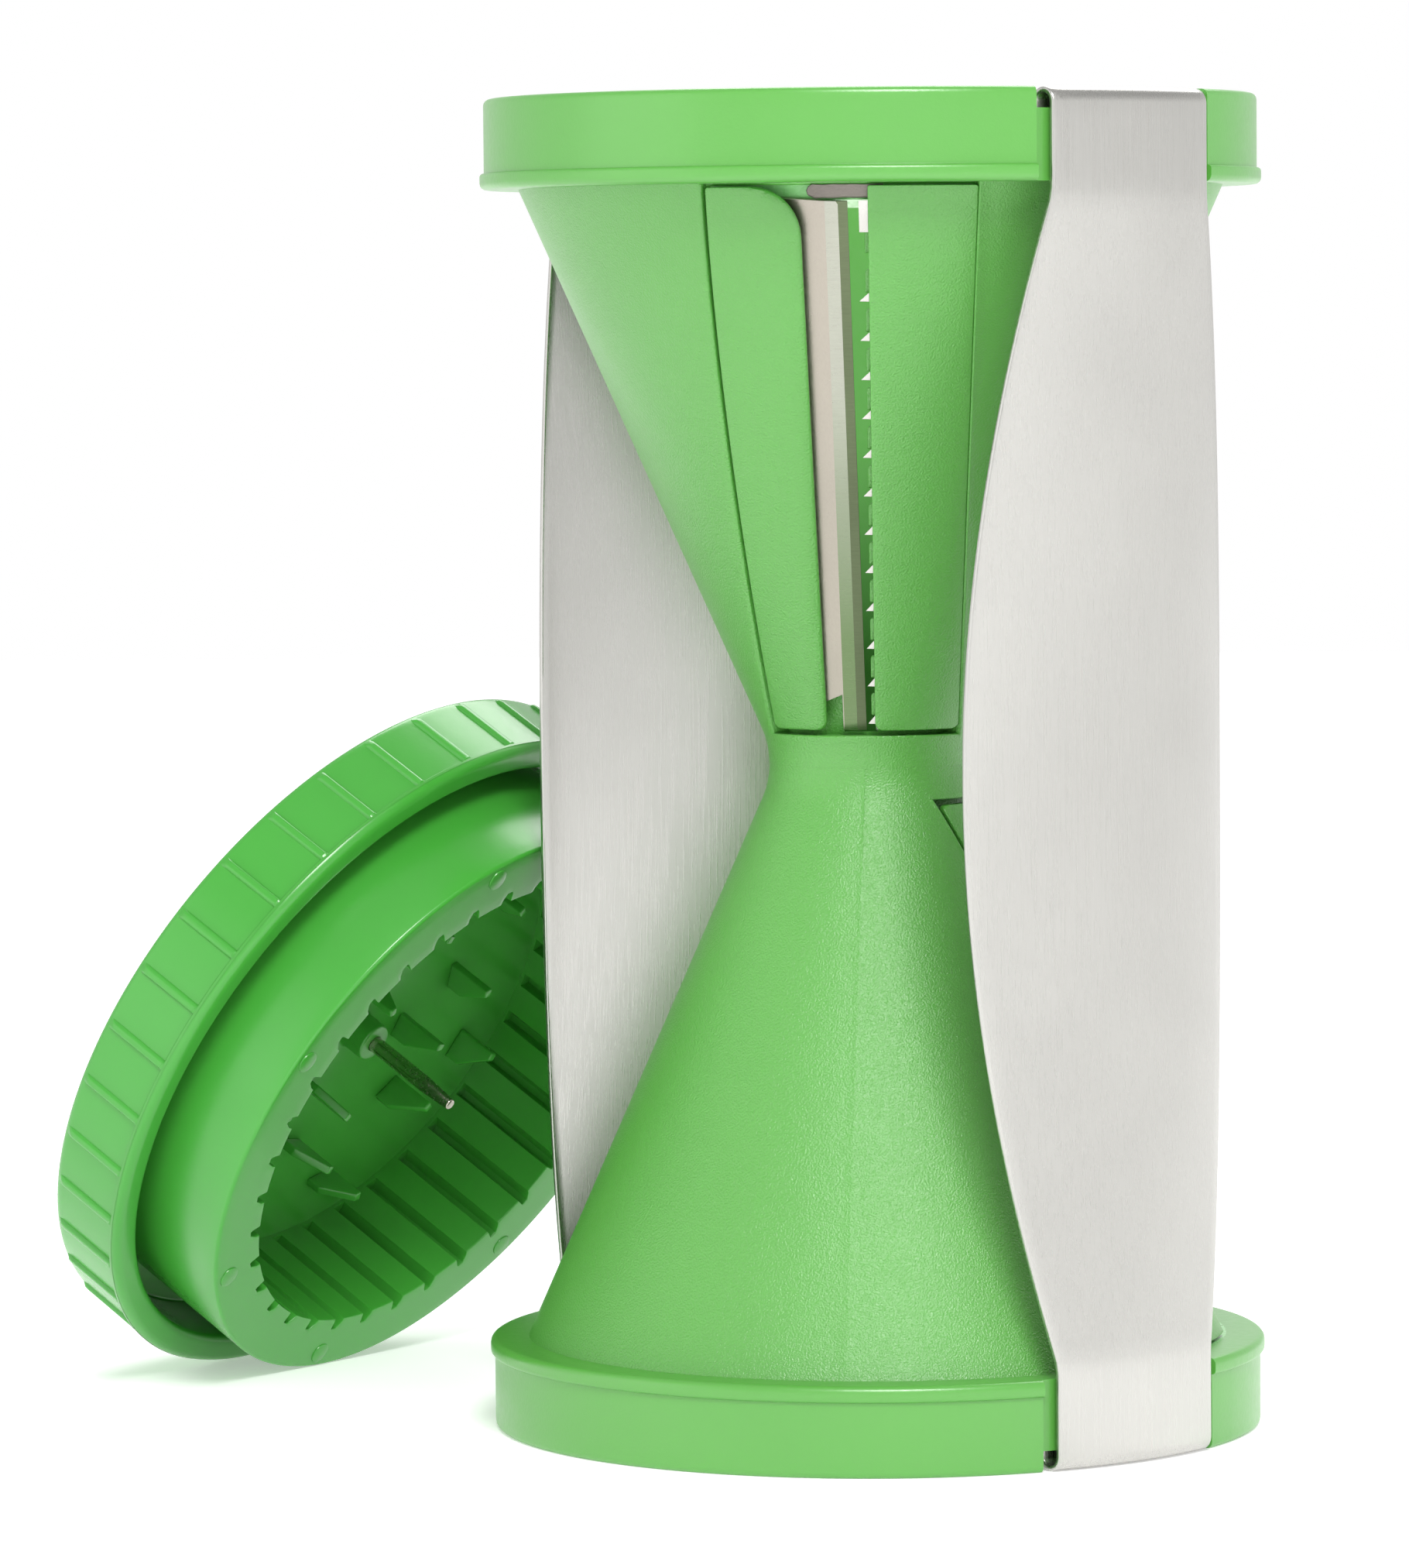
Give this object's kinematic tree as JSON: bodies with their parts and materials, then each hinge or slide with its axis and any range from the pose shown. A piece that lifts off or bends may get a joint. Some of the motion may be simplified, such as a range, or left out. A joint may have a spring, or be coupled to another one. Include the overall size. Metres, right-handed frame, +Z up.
{
  "type": "hand spiral slicer",
  "caption": "Hourglass hand spiral slicer: funnels with a blade and julienne comb in each slot, brushed steel side plates, and a loose spiked food-holder cap.",
  "frame": {"origin": "centre of the plane that the lower rim stands on, on the funnels' common axis", "axes": "+Z up along the funnels' axis; -Y towards the upper cutting slot; the loose cap leans on the left plate at -X +Y"},
  "size_m": [0.1144, 0.1049, 0.1228],
  "materials": {
    "body_plastic": "satin, fine texture",
    "cap_plastic": "smooth satin",
    "plate_steel": "brushed lengthwise",
    "blade_steel": "ground",
    "pin_steel": "polished"
  },
  "bodies": {
    "slicer": {"upper_funnel": "body_plastic", "lower_funnel": "body_plastic", "upper_blade": "blade_steel", "lower_blade": "blade_steel", "upper_blade_cover": "body_plastic", "lower_blade_cover": "body_plastic", "upper_blade_pins": "blade_steel", "lower_blade_pins": "blade_steel", "upper_comb": "blade_steel", "lower_comb": "blade_steel", "upper_comb_holder": "body_plastic", "lower_comb_holder": "body_plastic", "upper_comb_pins": "blade_steel", "lower_comb_pins": "blade_steel", "upper_end_clip": "blade_steel", "lower_end_clip": "blade_steel", "right_side_plate": "plate_steel", "left_side_plate": "plate_steel"},
    "cap": {"cap_shell": "cap_plastic", "cap_socket": "cap_plastic", "cap_disc": "cap_plastic", "cap_spikes": "cap_plastic", "cap_pin": "pin_steel"}
  },
  "joints": [
    {"name": "cap_pull", "type": "slide", "parent": "slicer", "child": "cap", "axis": [-0.66, 0.7513, 0], "range_m": [0, 0.09]}
  ]
}
